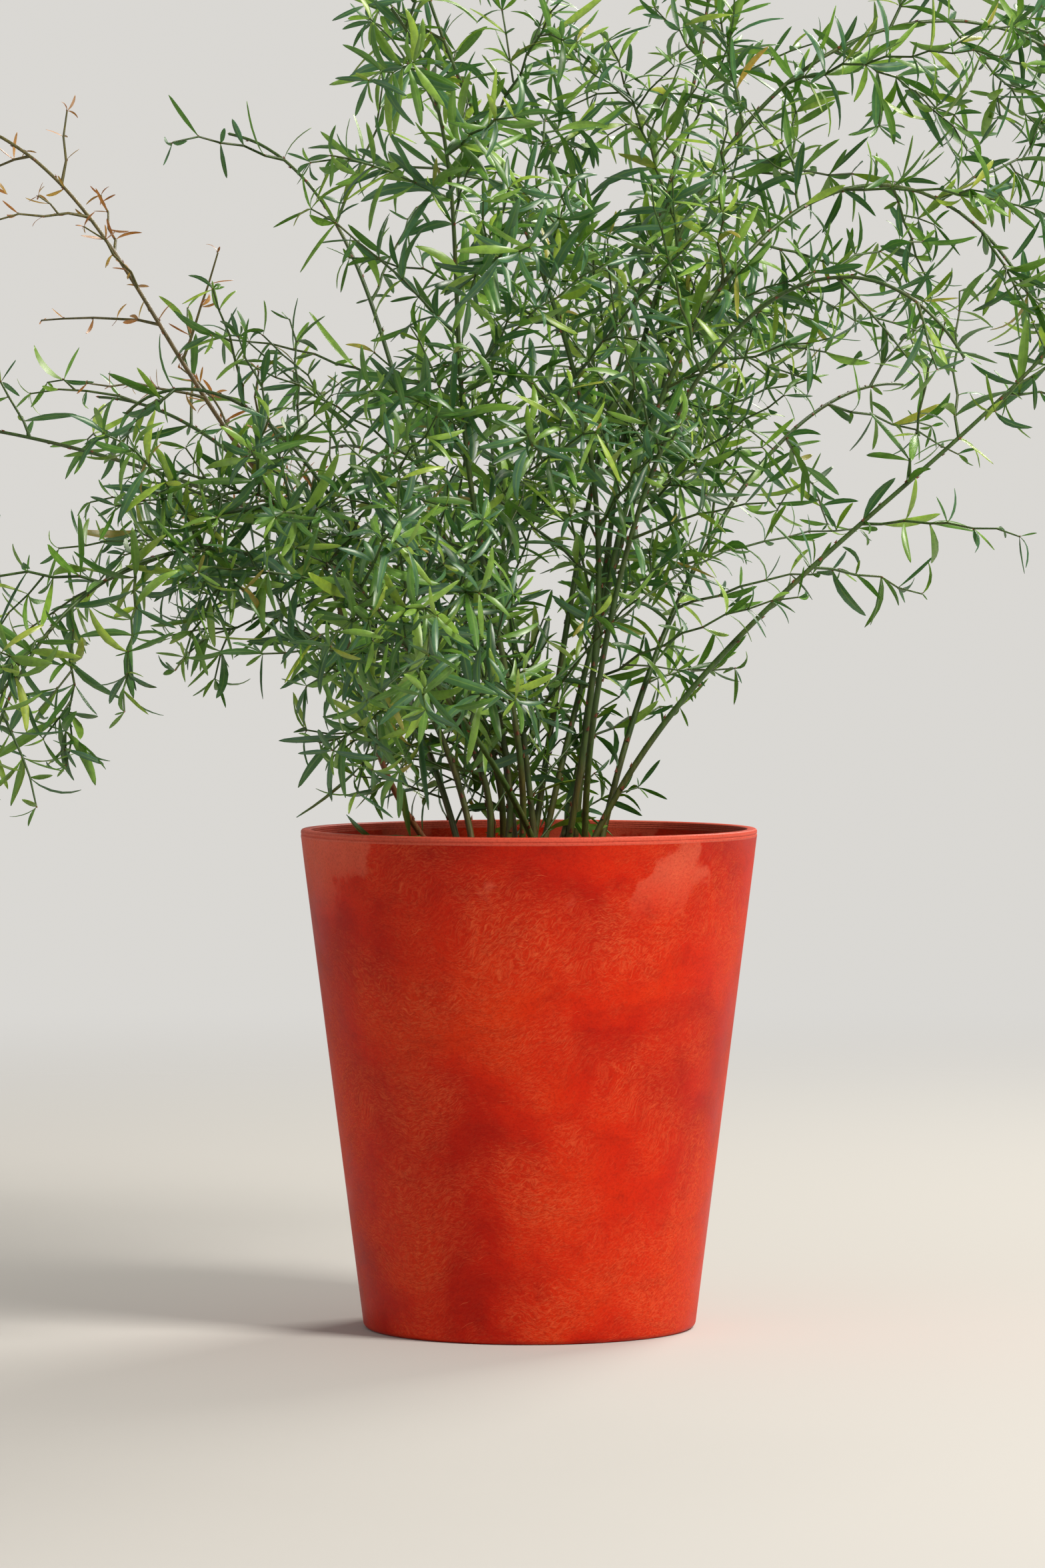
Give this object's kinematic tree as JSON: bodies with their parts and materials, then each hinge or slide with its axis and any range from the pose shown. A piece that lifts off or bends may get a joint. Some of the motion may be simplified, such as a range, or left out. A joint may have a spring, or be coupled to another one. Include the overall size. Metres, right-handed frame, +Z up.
{
  "type": "potted asparagus fern",
  "caption": "Asparagus fern with arching wiry stems and narrow pointed cladodes, growing in a straight tapered round pot.",
  "frame": {"origin": "centre of the pot's flat base, on the surface that it stands on", "axes": "+Z up along the pot's axis, +X to the right and +Y to the back of the front view"},
  "size_m": [0.551, 0.4356, 0.5791],
  "materials": {
    "moulded_pot": "satin moulded composite, terracotta red with cloudy paler patches and fine feathery veins",
    "soil": "dark moist potting mix, matt and crumbly",
    "rootstock": "rough brown woody crown",
    "foliage": "green stems and cladodes with a waxy sheen",
    "young_foliage": "orange-brown young shoot with small yellow-green cladodes"
  },
  "bodies": {
    "root": {"pot": "moulded_pot", "soil": "soil", "root_crown": "rootstock", "frond_back_left": "foliage", "frond_back_low": "foliage", "frond_back_right": "foliage", "frond_back_tall": "foliage", "frond_centre_main": "foliage", "frond_centre_rear": "foliage", "frond_centre_short": "foliage", "frond_front_left_green": "foliage", "frond_front_left_red": "foliage", "frond_front_right": "foliage", "frond_front_tall": "foliage", "frond_left_back": "foliage", "frond_left_droop": "foliage", "frond_left_high": "foliage", "frond_left_mid": "foliage", "frond_left_young": "young_foliage", "frond_right_arch": "foliage", "frond_right_droop": "foliage", "frond_right_high": "foliage"}
  },
  "joints": []
}
